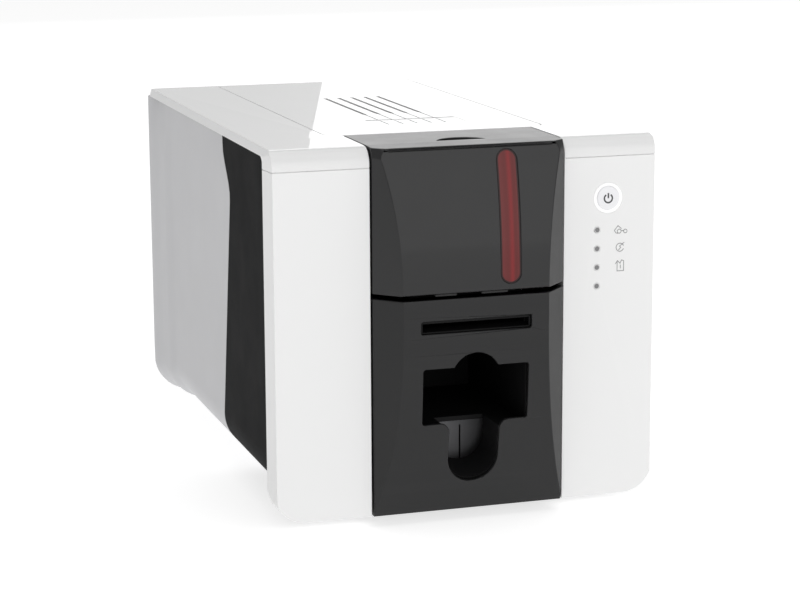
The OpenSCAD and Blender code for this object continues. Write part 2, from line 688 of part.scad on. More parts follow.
module roller_bushes() color(brass) {
  for (c=[[-62,113.6],GE,GP,GO]) for (x=[-CZ-CT-0.9,CZ-0.9]) difference() {
    rx(x,x+CT+1.8,c[0],c[1],6);
    rx(x-1,x+5,c[0],c[1],shaft_r+run_c);
  }
}

// ---- chassis -------------------------------------------------------------
module chassis_plate() difference() {
  union() {
    yz(CZ,CZ+CT) polygon([[-126,17],[146,17],[146,176],[128,186],[-86,186],[-126,150]]);
    bx([CZ,-126,17],[59,146,18.5]);
    // tabs under the screw bosses of the top cover
    for (y=[-90,110]) bx([CZ,y-6,184.7],[64,y+6,186.1]);
  }
  for (c=[[-62,113.6],GE,GP,GO]) rx(40,60,c[0],c[1],6);
  for (c=[[20,109.9],[100,109.9]]) rx(40,60,c[0],c[1],3+run_c);
  rx(40,60,-2.4,110.4,2+run_c);
  rx(40,60,8,99.6,2+run_c);
  for (y=[4,92]) rx(40,60,y,140,4+run_c);
  // lightening windows
  for (y=[-108,-74,-40]) yz(40,60) rrect(y,30,y+26,58,5);
  for (y=[-90,110]) translate([60,y,180]) cylinder(r=1.7,h=10,$fn=24);
}
module chassis_left() color(steel) difference() {
  mirror([1,0,0]) chassis_plate();
  rx(-60,-40,GM[0],GM[1],8);
  for (c=[[GI1,1.6],[GI2,2],[GR,2.5]]) rx(-60,-40,c[0][0],c[0][1],c[1]);
}
module chassis_right() color(steel) difference() {
  chassis_plate();
  rx(40,60,4,119,3.4);
}
// steel plates across the chassis, and the stub pins of the idlers
module cross_members() color(steel) {
  difference() {
    bx([-CZ,-118,17],[CZ,-116.6,47]);
    bx([3.2,-120,20],[4,-110,44]);
  }
  bx([-CZ,-117.9,17],[CZ,-104,18.4]);
  bx([-CZ,128,150],[CZ,129.5,184]);
  bx([-CZ,128,17],[CZ,129.5,60]);
  for (c=[[GI1,1.6],[GI2,2],[GR,2.5]]) rx(GXP-5,-CZ,c[0][0],c[0][1],c[1]);
}

// ---- print head ----------------------------------------------------------
module head_bracket() color(steel) difference() {
  union() {
    bx([-33,48,168.4],[33,68,170]);
    mirrored() bx([31.4,48,112],[33,68,170]);
    mirrored() bx([28,48,112],[33,68,113.4]);
  }
  for (x=[-27.5,27.5]) translate([x,58,160]) cylinder(r=1.6,h=20,$fn=24);
}
module heat_sink() color([0.75,0.76,0.78]) {
  bx([-31,50,113.4],[31,66,118]);
  for (i=[0:8]) bx([-28.6+6.9*i,50,117.9],[-26.6+6.9*i,66,134]);
}
module thermal_head() color([0.85,0.83,0.75]) {
  bx([-27.6,49,108.8],[27.6,66,113.4]);
  bx([-27.6,49,107.2],[27.6,61,108.9]);
  rx(-27.4,27.4,55,107.3,0.9);
  // connector of the head
  bx([-20,62,107.4],[20,65.8,108.9]);
}
// coil springs that press the head down
module coil(c,r,w,z0,z1,n) {
  s = n*12; k = 6;
  pts = [for (i=[0:s]) let(a=i*360/12,z=z0+w+(z1-z0-2*w)*i/s) each
    [for (j=[0:k-1]) let(b=j*360/k,q=r+w*cos(b)) [c[0]+q*cos(a),c[1]+q*sin(a),z+w*sin(b)]]];
  polyhedron(pts,concat([[for (j=[0:k-1]) j]],[[for (j=[k-1:-1:0]) s*k+j]],
    [for (i=[0:s-1]) for (j=[0:k-1]) let(a=i*k+j,b=i*k+(j+1)%k) each [[a,a+k,b+k],[a,b+k,b]]]));
}
module head_springs() color(steel) for (x=[-20,20]) coil([x,58],4,0.6,134.1,168.3,6);

// ---- ribbon --------------------------------------------------------------
// spool with its end flanges, the film wound on it and its journals
module spool(y,r,x1) {
  rx(-28.2,28.2,y,140,r);
  mirrored() rx(28,31.4,y,140,6.5);
  mirrored() rx(29.4,30.8,y,140,15.6);
  rx(-53.4,x1,y,140,4);
}
module supply_spool() color([0.3,0.5,0.75]) spool(92,14.6,53.4);
RG = [4,140]; RM = [4,118.94];
module takeup_spool() color([0.85,0.85,0.82]) spool(4,9.2,61.6);
module takeup_gear() color(nylon) difference() {
  union() { yz(55.6,60.6) translate(RG) gear2d(30,0); rx(54.6,61.2,4,140,6.6); }
  rx(50,65,4,140,4);
}
module ribbon_web() color([0.1,0.1,0.12]) yz(-28,28)
  polygon([[86.9,125.75],[66,106.6],[64,105.4],[47,106.05],[8.9,131.6],
           [9.03,131.8],[47,106.25],[64,105.6],[66,106.85],[86.7,125.95]]);
module ribbon_motor() color([0.6,0.61,0.62]) {
  difference() { rx(34.4,51.9,RM[0],RM[1],8); rx(34,53,RM[0],RM[1],1+run_c); }
}
module ribbon_pinion() color(brass) {
  rx(36,61,RM[0],RM[1],1);
  yz(55.6,60.6) translate(RM) gear2d(12,mesh(0,30,12,-90));
}

// ---- electronics ---------------------------------------------------------
module main_board() {
  color([0.1,0.35,0.2]) bx([59.6,-30,24],[61.2,146,110]);
  color(dark) {
    bx([61.1,20,60],[65,44,84]); bx([61.1,-10,40],[63.6,6,52]);
    bx([61.1,60,36],[69,70,60]); bx([61.1,-24,88],[68,-6,106]);
    for (y=[98,111,124]) rx(61.1,75,y,100,5);
  }
  color([0.9,0.9,0.86]) { bx([61.1,10,28],[66,40,34]); bx([61.1,56,98],[66,90,104]); }
  color(steel) for (y=[-24,140]) for (z=[30,104]) rx(53.5,59.7,y,z,2.5);
}
module rear_sockets() color([0.7,0.71,0.73]) {
  // network socket
  difference() { bx([61.2,127,33.6],[75,149.3,49.8]); bx([63,138,35.6],[73.4,150,46.5]); }
  // data socket
  difference() { bx([61.2,131,60.5],[73,149.3,72.8]); bx([62.6,140,62],[71.6,150,71.3]); bx([64,139,60],[70,141,60.4]); }
  bx([64.6,139.8,64.6],[69.6,148.6,68.7]);
  // round power socket
  difference() { ry(132,149.3,70,92,7.4); ry(141,150,70,92,5.4); }
  for (a=[45,135,225,315]) ry(140.9,147,70+2.6*cos(a),92+2.6*sin(a),0.5);
  bx([61.2,132,88],[66,140,96]);
}
module power_button() color(white) {
  ry(YF-0.5,YF+2,BX,BZ,button_r);
  ry(YF+1.9,YF+7,BX,BZ,2);
}
// ring of light round the button, the status lamps and the small board behind
module status_lamps() {
  color([0.98,0.98,0.98]) difference() { ry(YF,YF+3.4,BX,BZ,7.75); ry(YF-1,YF+5,BX,BZ,button_r+0.25); }
  color([0.5,0.5,0.5]) for (i=[0:lamps-1]) ry(YF,YF+8.2,69.8,147-lamp_pitch*i,1.5);
  color([0.1,0.35,0.2]) difference() { bx([62,YF+8.3,112],[88,YF+9.9,176]); ry(-135,-120,BX,BZ,3); }
  color(dark) difference() { bx([70,YF+9.95,158],[81,YF+12.8,169]); ry(YF+9,YF+11,BX,BZ,2.6); }
  color(white) difference() { ry(YF+3.3,YF+8.2,BX,BZ,7.4); ry(YF+3,YF+9,BX,BZ,6.2); }
}

top_cover();
lid();
hinge_brackets();
hinge_pins();
fascia_left();
fascia_right();
body_collar();
side_panel_left();
side_panel_right();
rear_panel();
base_plate();
feet();
case_screws();
lower_front_panel();
output_hopper();
card_guides();
feeder_door();
gauge_window();
feeder_box();
card_weight();
pick_shaft();
pick_roller();
pick_pulley();
feed_belt();
diverter_flap();
entry_shaft();
entry_roller();
entry_gear();
entry_pinch_roller();
cleaning_roller();
platen_shaft();
platen_roller();
platen_gear();
exit_shaft();
exit_roller();
exit_gear();
exit_pinch_roller();
entry_idler();
exit_idler();
reduction_gear();
drive_motor();
motor_pinion();
roller_bushes();
chassis_left();
chassis_right();
cross_members();
head_bracket();
heat_sink();
thermal_head();
head_springs();
supply_spool();
takeup_spool();
takeup_gear();
ribbon_web();
ribbon_motor();
ribbon_pinion();
main_board();
rear_sockets();
power_button();
status_lamps();
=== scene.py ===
import bpy
import bmesh
import json
import math
from mathutils import Matrix, Quaternion, Vector


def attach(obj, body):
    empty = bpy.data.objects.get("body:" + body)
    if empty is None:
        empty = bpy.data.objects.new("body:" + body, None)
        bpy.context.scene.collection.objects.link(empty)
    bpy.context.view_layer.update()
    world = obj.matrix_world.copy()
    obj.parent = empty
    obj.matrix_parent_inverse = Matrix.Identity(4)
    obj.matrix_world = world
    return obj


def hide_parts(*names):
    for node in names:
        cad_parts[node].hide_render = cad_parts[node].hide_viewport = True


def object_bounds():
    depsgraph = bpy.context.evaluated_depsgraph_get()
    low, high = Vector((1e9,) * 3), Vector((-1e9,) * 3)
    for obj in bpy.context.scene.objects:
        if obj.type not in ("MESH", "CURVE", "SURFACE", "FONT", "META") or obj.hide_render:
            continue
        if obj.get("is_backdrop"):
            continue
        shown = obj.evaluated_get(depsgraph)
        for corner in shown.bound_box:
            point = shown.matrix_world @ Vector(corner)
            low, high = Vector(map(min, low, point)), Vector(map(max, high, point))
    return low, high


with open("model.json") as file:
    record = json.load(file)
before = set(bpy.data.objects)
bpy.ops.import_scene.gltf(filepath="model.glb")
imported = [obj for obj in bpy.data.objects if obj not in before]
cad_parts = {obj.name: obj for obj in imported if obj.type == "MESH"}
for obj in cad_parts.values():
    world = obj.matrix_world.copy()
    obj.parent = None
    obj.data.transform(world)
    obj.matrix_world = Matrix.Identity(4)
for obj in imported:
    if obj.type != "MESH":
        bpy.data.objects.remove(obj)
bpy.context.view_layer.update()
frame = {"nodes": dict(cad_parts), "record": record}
REC = frame["record"]
NODES = frame["nodes"]
BODY = {n: b for b, ns in REC["behaviour"]["bodies"].items() for n in ns}
SLOT = {s["node"]: s["material_slot"] for s in REC["subparts"]}
MM = 0.001


# ---------------------------------------------------------------- materials
class Mat:
    """A small helper round one procedural material."""

    def __init__(self, name):
        self.m = bpy.data.materials.new(name)
        self.m.use_nodes = True
        self.t = self.m.node_tree
        self.b = next(n for n in self.t.nodes if n.type == "BSDF_PRINCIPLED")
        self.co = self.t.nodes.new("ShaderNodeTexCoord").outputs["Object"]

    def set(self, **kw):
        for k, v in kw.items():
            self.b.inputs[k.replace("_", " ")].default_value = v
        return self

    def link(self, a, b):
        self.t.links.new(a, b)

    def scaled(self, sx, sy, sz):
        n = self.t.nodes.new("ShaderNodeMapping")
        n.inputs["Scale"].default_value = (sx, sy, sz)
        self.link(self.co, n.inputs["Vector"])
        return n.outputs["Vector"]

    def noise(self, scale, detail=3.0, rough=0.5, vec=None, dist=0.0):
        n = self.t.nodes.new("ShaderNodeTexNoise")
        n.inputs["Scale"].default_value = scale
        n.inputs["Detail"].default_value = detail
        n.inputs["Roughness"].default_value = rough
        n.inputs["Distortion"].default_value = dist
        self.link(vec or self.co, n.inputs["Vector"])
        return n.outputs["Fac"]

    def cells(self, scale, vec=None):
        n = self.t.nodes.new("ShaderNodeTexVoronoi")
        n.inputs["Scale"].default_value = scale
        self.link(vec or self.co, n.inputs["Vector"])
        return n.outputs["Distance"]

    def ramp(self, fac, stops, mode="LINEAR"):
        n = self.t.nodes.new("ShaderNodeValToRGB")
        n.color_ramp.interpolation = mode
        e = n.color_ramp.elements
        while len(e) < len(stops):
            e.new(0.5)
        for el, (p, c) in zip(e, stops):
            el.position = p
            el.color = (*c, 1.0) if len(c) == 3 else c
        self.link(fac, n.inputs["Fac"])
        return n.outputs["Color"]

    def remap(self, fac, a, b, lo=0.0, hi=1.0):
        n = self.t.nodes.new("ShaderNodeMapRange")
        n.inputs["From Min"].default_value = lo
        n.inputs["From Max"].default_value = hi
        n.inputs["To Min"].default_value = a
        n.inputs["To Max"].default_value = b
        self.link(fac, n.inputs["Value"])
        return n.outputs["Result"]

    def math(self, op, a, b=None, v=0.5):
        n = self.t.nodes.new("ShaderNodeMath")
        n.operation = op
        self.link(a, n.inputs[0])
        if b is None:
            n.inputs[1].default_value = v
        else:
            self.link(b, n.inputs[1])
        return n.outputs["Value"]

    def mix(self, fac, a, b):
        n = self.t.nodes.new("ShaderNodeMix")
        n.data_type = "RGBA"
        if isinstance(fac, float):
            n.inputs["Factor"].default_value = fac
        else:
            self.link(fac, n.inputs["Factor"])
        for v, s in ((a, n.inputs[6]), (b, n.inputs[7])):
            if isinstance(v, tuple):
                s.default_value = (*v, 1.0)
            else:
                self.link(v, s)
        return n.outputs[2]

    def axis(self, i):
        n = self.t.nodes.new("ShaderNodeSeparateXYZ")
        self.link(self.co, n.inputs["Vector"])
        return n.outputs[i]

    def edges(self, lo=0.505, hi=0.56):
        """1 along convex edges, 0 on the flats."""
        g = self.t.nodes.new("ShaderNodeNewGeometry")
        return self.remap(g.outputs["Pointiness"], 0.0, 1.0, lo, hi)

    def recess(self, distance):
        """1 in the open, falling to 0 in the corners between pieces."""
        n = self.t.nodes.new("ShaderNodeAmbientOcclusion")
        n.samples = 6
        n.inputs["Distance"].default_value = distance
        return n.outputs["AO"]

    def bump(self, height, strength, distance, normal=None):
        n = self.t.nodes.new("ShaderNodeBump")
        n.inputs["Strength"].default_value = strength
        n.inputs["Distance"].default_value = distance
        self.link(height, n.inputs["Height"])
        if normal is not None:
            self.link(normal, n.inputs["Normal"])
        return n.outputs["Normal"]

    def soft(self, radius):
        n = self.t.nodes.new("ShaderNodeBevel")
        n.samples = 4
        n.inputs["Radius"].default_value = radius
        return n.outputs["Normal"]

    def color(self, c):
        self.link(c, self.b.inputs["Base Color"])
        return self

    def rough(self, r):
        self.link(r, self.b.inputs["Roughness"])
        return self

    def normal(self, n, coat=False):
        self.link(n, self.b.inputs["Normal"])
        if coat:
            self.link(n, self.b.inputs["Coat Normal"])
        return self


def shade(c, k):
    return tuple(min(1.0, v * k) for v in c)


def plastic(name, col, rough, grain=0.00045, depth=0.000012, strength=0.35,
            tint=0.015, var=0.05, wear=1.08, coat=0.0, coat_rough=0.05, spec=0.5,
            soft=0.0, painted_shade=0.0, reach=0.006):
    """Moulded plastic: a moulded grain, slow tone changes, faint flow marks,
    handling haze in the gloss and slightly burnished edges."""
    m = Mat(name)
    m.set(Metallic=0.0, IOR=1.5)
    m.b.inputs["Specular IOR Level"].default_value = spec
    m.b.inputs["Coat Weight"].default_value = coat
    m.b.inputs["Coat Roughness"].default_value = coat_rough
    slow = m.noise(9.0, 3.0, 0.55)
    flow = m.noise(22.0, 4.0, 0.6, m.scaled(1.0, 1.0, 0.18), 0.6)
    tone = m.mix(slow, shade(col, 1.0 - tint), shade(col, 1.0 + tint))
    tone = m.mix(m.remap(flow, 0.0, 0.35, 0.35, 0.75), tone, shade(col, 1.0 + tint * 0.8))
    tone = m.mix(m.math("MULTIPLY", m.edges(), None, 0.35), tone, shade(col, wear))
    # painted shade: darkens the colour in corners, creases and under overhangs, where ambient occlusion finds nearby
    # surfaces
    if painted_shade:
        tone = m.mix(m.remap(m.recess(reach), 1.0, 0.0, 0.35, 0.85), tone, shade(col, 1.0 - painted_shade))
    m.color(tone)
    haze = m.noise(34.0, 5.0, 0.62)
    specks = m.remap(m.noise(900.0, 2.0, 0.5), 0.0, 0.05, 0.66, 0.8)
    r = m.remap(haze, rough - var, rough + var, 0.3, 0.7)
    r = m.math("ADD", r, specks)
    m.rough(r)
    g = m.noise(1.0 / grain, 2.0, 0.55)
    base = m.soft(soft) if soft else None
    n = m.bump(g, strength, depth, base)
    m.normal(n)
    return m.m


def metal(name, col, rough, brush=(1.0, 1.0, 1.0), var=0.08, depth=0.000012, soft=0.0):
    """Bare metal with drawn or rolled marks and slight staining."""
    m = Mat(name)
    m.set(Metallic=1.0)
    lines = m.noise(700.0, 3.0, 0.6, m.scaled(*brush))
    stain = m.noise(40.0, 4.0, 0.6)
    tone = m.mix(lines, shade(col, 0.86), shade(col, 1.06))
    tone = m.mix(m.remap(stain, 0.0, 0.3, 0.45, 0.75), tone, shade(col, 0.78))
    tone = m.mix(m.math("MULTIPLY", m.edges(), None, 0.5), tone, shade(col, 1.15))
    m.color(tone)
    m.rough(m.remap(m.math("ADD", m.math("MULTIPLY", lines, None, 0.6), m.math("MULTIPLY", stain, None, 0.4)),
                    rough - var, rough + var, 0.3, 0.7))
    base = m.soft(soft) if soft else None
    m.normal(m.bump(lines, 0.3, depth, base))
    return m.m


def rubber(name, col, rough=0.75, soft=0.0):
    m = Mat(name)
    m.b.inputs["Specular IOR Level"].default_value = 0.35
    dust = m.noise(60.0, 5.0, 0.65)
    fine = m.noise(2600.0, 2.0, 0.6)
    m.color(m.mix(m.remap(dust, 0.0, 0.5, 0.5, 0.8), col, shade(col, 1.7)))
    m.rough(m.remap(dust, rough - 0.1, rough + 0.1, 0.3, 0.7))
    base = m.soft(soft) if soft else None
    m.normal(m.bump(fine, 0.5, 0.00002, base))
    return m.m


WHITE = (0.86, 0.86, 0.858)
M = {}
M["white_gloss"] = plastic("white_gloss", WHITE, 0.36, grain=0.006, depth=0.0000012, strength=0.08,
                           tint=0.005, var=0.03, wear=1.02, coat=1.0, coat_rough=0.012, spec=0.3)
# copy of the white for the front lip, darkened as painted shade
M["white_lip_painted_shade"] = plastic("white_lip_painted_shade", tuple(0.955 * c for c in WHITE), 0.3, grain=0.003, depth=0.000002, strength=0.1,
                         tint=0.005, var=0.03, wear=1.03, spec=0.45)
# copy of the white for the side band, lightened as painted light
M["white_band_painted_light"] = plastic("white_band_painted_light", tuple(min(0.93, c * 1.13) for c in WHITE), 0.34, grain=0.003,
                          depth=0.000002, strength=0.1, tint=0.005, var=0.03, wear=1.02, spec=0.5)
M["white_satin"] = plastic("white_satin", WHITE, 0.4, grain=0.0004, depth=0.000006, strength=0.25,
                           tint=0.008, var=0.04, wear=1.03, spec=0.28)
M["black_rear"] = plastic("black_rear", (0.021, 0.021, 0.0215), 0.5, grain=0.0007, depth=0.00003,
                          strength=0.5, tint=0.08, wear=1.7, spec=0.4)
# side panels, with painted shade in their corners and under the top cover's overhang
M["grey_satin"] = plastic("grey_satin", (0.575, 0.575, 0.587), 0.5, grain=0.0005, depth=0.00001,
                          strength=0.3, tint=0.012, wear=1.05, spec=0.16, painted_shade=0.28, reach=0.009)
# black mouldings, with painted shade in their corners and recesses
M["black_satin"] = plastic("black_satin", (0.018, 0.018, 0.0185), 0.36, grain=0.0006, depth=0.000005,
                           strength=0.2, tint=0.06, wear=1.3, var=0.04, coat=0.34, coat_rough=0.11, spec=0.18,
                           painted_shade=0.4, reach=0.004)
M["black_panel"] = plastic("black_panel", (0.0145, 0.0145, 0.0149), 0.36, grain=0.0006, depth=0.000005,
                           strength=0.2, tint=0.06, wear=1.3, var=0.04, coat=0.24, coat_rough=0.11, spec=0.18,
                           painted_shade=0.4, reach=0.004)
M["black_grain"] = plastic("black_grain", (0.015, 0.015, 0.0155), 0.66, grain=0.0007, depth=0.00003,
                           strength=0.4, tint=0.08, wear=1.6, soft=0.0003, spec=0.02)
# dark insides, with painted shade in their corners
M["dark_inner"] = plastic("dark_inner", (0.0065, 0.0065, 0.0068), 0.58, grain=0.0006, depth=0.00002,
                          strength=0.4, tint=0.1, wear=2.0, soft=0.0003, spec=0.14, painted_shade=0.5, reach=0.02)
M["nylon"] = plastic("nylon", (0.78, 0.75, 0.66), 0.45, grain=0.0005, depth=0.000012, tint=0.04,
                     wear=1.05, soft=0.0002)
M["weight_grey"] = plastic("weight_grey", (0.30, 0.31, 0.32), 0.45, tint=0.03, wear=1.2, soft=0.0003)
M["ceramic"] = plastic("ceramic", (0.78, 0.75, 0.66), 0.22, grain=0.002, tint=0.02, soft=0.0002)
M["steel_plate"] = metal("steel_plate", (0.62, 0.63, 0.64), 0.34, (1.0, 0.05, 1.0), soft=0.0002)
M["steel_bright"] = metal("steel_bright", (0.68, 0.69, 0.70), 0.22, (0.04, 1.0, 1.0), soft=0.0002)
M["brass"] = metal("brass", (0.72, 0.52, 0.24), 0.28, (1.0, 1.0, 0.1), soft=0.00015)
M["aluminium"] = metal("aluminium", (0.74, 0.75, 0.77), 0.4, (1.0, 0.04, 1.0), soft=0.0002)
M["motor_black"] = metal("motor_black", (0.09, 0.09, 0.095), 0.45, (0.1, 1.0, 1.0), soft=0.0004)
M["motor_steel"] = metal("motor_steel", (0.50, 0.51, 0.52), 0.3, (0.1, 1.0, 1.0), soft=0.0003)
M["socket_metal"] = metal("socket_metal", (0.60, 0.61, 0.63), 0.3, (1.0, 0.08, 1.0), soft=0.00015)
M["rubber_black"] = rubber("rubber_black", (0.035, 0.035, 0.037), soft=0.0004)
M["clean_blue"] = rubber("clean_blue", (0.05, 0.13, 0.32), 0.35, soft=0.0004)


def lamp_lens():
    """Unlit lamps: a smoked middle in a white-moulded rim, one every 9.75 mm down the front."""
    m = Mat("lamp_lens")
    m.set(Metallic=0.0, IOR=1.5, Roughness=0.34)
    dx = m.math("SUBTRACT", m.axis(0), None, 69.8 * MM)
    dz = m.math("PINGPONG", m.math("SUBTRACT", m.axis(2), None, 108.0 * MM), None, 4.875 * MM)
    d = m.math("SQRT", m.math("ADD", m.math("MULTIPLY", dx, dx), m.math("MULTIPLY", dz, dz)))
    d = m.math("ADD", d, m.remap(m.noise(1800.0), -0.00004, 0.00004))
    m.color(m.mix(m.remap(d, 0.0, 1.0, 1.18 * MM, 1.34 * MM), (0.20, 0.20, 0.203), (0.78, 0.78, 0.775)))
    m.normal(m.bump(m.noise(1600.0, 2.0, 0.5), 0.2, 0.00001))
    return m.m


M["lamp_lens"] = lamp_lens()
M["spool_blue"] = plastic("spool_blue", (0.08, 0.19, 0.42), 0.35, tint=0.03, soft=0.0002)
M["spool_grey"] = plastic("spool_grey", (0.62, 0.62, 0.60), 0.35, tint=0.03, soft=0.0002)
M["white_conn"] = plastic("white_conn", (0.70, 0.70, 0.66), 0.4, tint=0.03, soft=0.0002)
M["chip"] = plastic("chip", (0.02, 0.02, 0.021), 0.4, grain=0.0003, tint=0.1, soft=0.0002)
M["print_grey"] = plastic("print_grey", (0.30, 0.30, 0.30), 0.45, grain=0.0003, tint=0.03, wear=1.0)
M["symbol_grey"] = plastic("symbol_grey", (0.06, 0.06, 0.065), 0.4, grain=0.0003, tint=0.05, wear=1.0)
M["button_white"] = plastic("button_white", (0.88, 0.88, 0.90), 0.25, grain=0.003, depth=0.000003,
                            strength=0.15, tint=0.008, wear=1.02)


def film():
    """Wound printing film: dark layers with faint winding bands, under a gloss."""
    m = Mat("film_dark")
    m.set(Metallic=0.0, Roughness=0.18)
    m.b.inputs["Coat Weight"].default_value = 0.6
    m.b.inputs["Coat Roughness"].default_value = 0.1
    wind = m.noise(500.0, 2.0, 0.5, m.scaled(1.0, 0.02, 0.02))
    m.color(m.mix(m.remap(wind, 0.0, 0.4, 0.4, 0.7), (0.012, 0.012, 0.014), (0.035, 0.032, 0.045)))
    m.normal(m.bump(wind, 0.25, 0.00001))
    return m.m


M["film_dark"] = film()


def board():
    m = Mat("board_green")
    m.set(Roughness=0.3)
    n = m.t.nodes.new("ShaderNodeTexBrick")
    n.offset = 0.35
    for k, v in (("Scale", 260.0), ("Mortar Size", 0.012), ("Brick Width", 1.7), ("Row Height", 0.42)):
        n.inputs[k].default_value = v
    n.inputs["Color1"].default_value = (0.012, 0.085, 0.035, 1)
    n.inputs["Color2"].default_value = (0.016, 0.10, 0.042, 1)
    n.inputs["Mortar"].default_value = (0.04, 0.19, 0.075, 1)
    sep = m.t.nodes.new("ShaderNodeSeparateXYZ")
    com = m.t.nodes.new("ShaderNodeCombineXYZ")
    m.link(m.co, sep.inputs[0])
    m.link(sep.outputs[1], com.inputs[0])
    m.link(sep.outputs[2], com.inputs[1])
    m.link(com.outputs[0], n.inputs["Vector"])
    m.color(m.mix(m.remap(m.cells(420.0), 1.0, 0.0, 0.06, 0.1), n.outputs["Color"], (0.45, 0.36, 0.15)))
    m.normal(m.bump(n.outputs["Fac"], 0.3, 0.00003))
    return m.m


M["board_green"] = board()


def red_window():
    """Dark red clear moulding: a darker rim round its long outline, and a streak of painted light down its middle."""
    m = Mat("window_red")
    m.set(Metallic=0.0, IOR=1.49, Roughness=0.3)
    m.b.inputs["Specular IOR Level"].default_value = 0.28
    m.b.inputs["Coat Weight"].default_value = 0.08
    m.b.inputs["Coat Roughness"].default_value = 0.06
    m.b.inputs["Transmission Weight"].default_value = 0.05
    x = m.remap(m.axis(0), 0.0, 1.0, 12.85 * MM, 23.75 * MM)
    wav = m.noise(60.0, 2.0, 0.5, m.scaled(1.0, 1.0, 0.1))
    x = m.math("ADD", x, m.remap(wav, -0.03, 0.03))
    # the lighter stop at 0.58 paints the streak of light down the middle
    body = m.ramp(x, [(0.0, (0.155, 0.021, 0.021)), (0.38, (0.13, 0.014, 0.014)), (0.58, (0.215, 0.013, 0.015)),
                      (0.74, (0.125, 0.013, 0.013)), (1.0, (0.15, 0.019, 0.019))], "EASE")
    # distance from the middle line between the two round ends
    dx = m.math("SUBTRACT", m.axis(0), None, 18.3 * MM)
    up = m.math("MAXIMUM", m.math("SUBTRACT", m.axis(2), None, 186.45 * MM), None, 0.0)
    dn = m.math("MINIMUM", m.math("SUBTRACT", m.axis(2), None, 130.45 * MM), None, 0.0)
    dz = m.math("ADD", up, dn)
    d = m.math("SQRT", m.math("ADD", m.math("MULTIPLY", dx, dx), m.math("MULTIPLY", dz, dz)))
    rim = m.remap(d, 0.0, 1.0, 4.35 * MM, 4.75 * MM)
    m.color(m.mix(rim, body, (0.022, 0.004, 0.004)))
    m.normal(m.bump(m.noise(300.0, 2.0, 0.5, m.scaled(1.0, 1.0, 0.2)), 0.1, 0.00001))
    return m.m


M["window_red"] = red_window()


def ring_light():
    m = Mat("ring_light")
    m.set(Roughness=0.3)
    m.color(m.mix(m.noise(80.0), (0.90, 0.90, 0.90), (0.95, 0.95, 0.95)))
    m.b.inputs["Emission Color"].default_value = (1, 1, 1, 1)
    m.b.inputs["Emission Strength"].default_value = 0.16
    m.normal(m.bump(m.noise(1500.0), 0.2, 0.00001))
    return m.m


M["ring_light"] = ring_light()
# the cross members' steel is darkened to near black as painted shade: they sit in the shade behind the thumb slot
M["steel_dark"] = metal("steel_dark", (0.13, 0.13, 0.135), 0.5, (1.0, 0.05, 1.0), soft=0.0002)
M["cap_sleeve"] = plastic("cap_sleeve", (0.03, 0.045, 0.09), 0.3, grain=0.002, tint=0.05, soft=0.0002)

for n, o in NODES.items():
    mat = M.get(SLOT[n], M["dark_inner"])
    if len(o.material_slots) == 0:
        o.data.materials.append(mat)
    for s in o.material_slots:
        s.material = mat


# ------------------------------------------------------------------ pieces
def finish_normals(ob, angle=32.0):
    me = ob.data
    for p in me.polygons:
        p.use_smooth = True
    me.set_sharp_from_angle(angle=math.radians(angle))


def add(name, bm, mat, body, angle=32.0):
    me = bpy.data.meshes.new(name)
    bm.normal_update()
    bm.to_mesh(me)
    bm.free()
    ob = bpy.data.objects.new(name, me)
    bpy.context.scene.collection.objects.link(ob)
    for x in (mat if isinstance(mat, list) else [mat]):
        me.materials.append(x)
    finish_normals(ob, angle)
    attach(ob, body)
    return ob


def clean_copy(node, merge=2e-6, flat=0.35):
    """The node's mesh with its flat faces whole again."""
    bm = bmesh.new()
    bm.from_mesh(NODES[node].data)
    bmesh.ops.remove_doubles(bm, verts=bm.verts, dist=merge)
    bmesh.ops.dissolve_degenerate(bm, edges=bm.edges, dist=1e-6)
    bmesh.ops.dissolve_limit(bm, angle_limit=math.radians(flat), verts=bm.verts, edges=bm.edges,
                             use_dissolve_boundaries=False)
    bmesh.ops.recalc_face_normals(bm, faces=bm.faces)
    return bm


def fine(node, width=0.3, seg=2, angle=28.0, keep=None, mats=None, pick=None, flat=0.35):
    """Replaces a cover with a copy whose edges are rounded over width mm."""
    bm = clean_copy(node, flat=flat)
    layer = bm.edges.layers.float.get("bevel_weight_edge") or bm.edges.layers.float.new("bevel_weight_edge")
    lim = math.radians(angle)
    for e in bm.edges:
        if len(e.link_faces) == 2 and e.calc_face_angle(0.0) > lim:
            a, b = e.verts[0].co / MM, e.verts[1].co / MM
            if keep is None or keep(a, b, e):
                e[layer] = 1.0
    me = bpy.data.meshes.new(node + "_fine")
    bm.to_mesh(me)
    bm.free()
    ob = bpy.data.objects.new(node + "_fine", me)
    bpy.context.scene.collection.objects.link(ob)
    for x in mats or [M[SLOT[node]]]:
        me.materials.append(x)
    if pick:
        for p in me.polygons:
            p.material_index = pick(p.center / MM, p.normal)
    else:
        for p in me.polygons:
            p.material_index = 0
    if width:
        b = ob.modifiers.new("round", "BEVEL")
        b.width = width * MM
        b.segments = seg
        b.limit_method = "WEIGHT"
        b.use_clamp_overlap = False
        b.miter_outer = "MITER_ARC"
        b.harden_normals = False
    finish_normals(ob, 34.0)
    if width:
        w = ob.modifiers.new("weighted", "WEIGHTED_NORMAL")
        w.keep_sharp = True
        w.weight = 60
    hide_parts(node)
    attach(ob, BODY[node])
    return ob


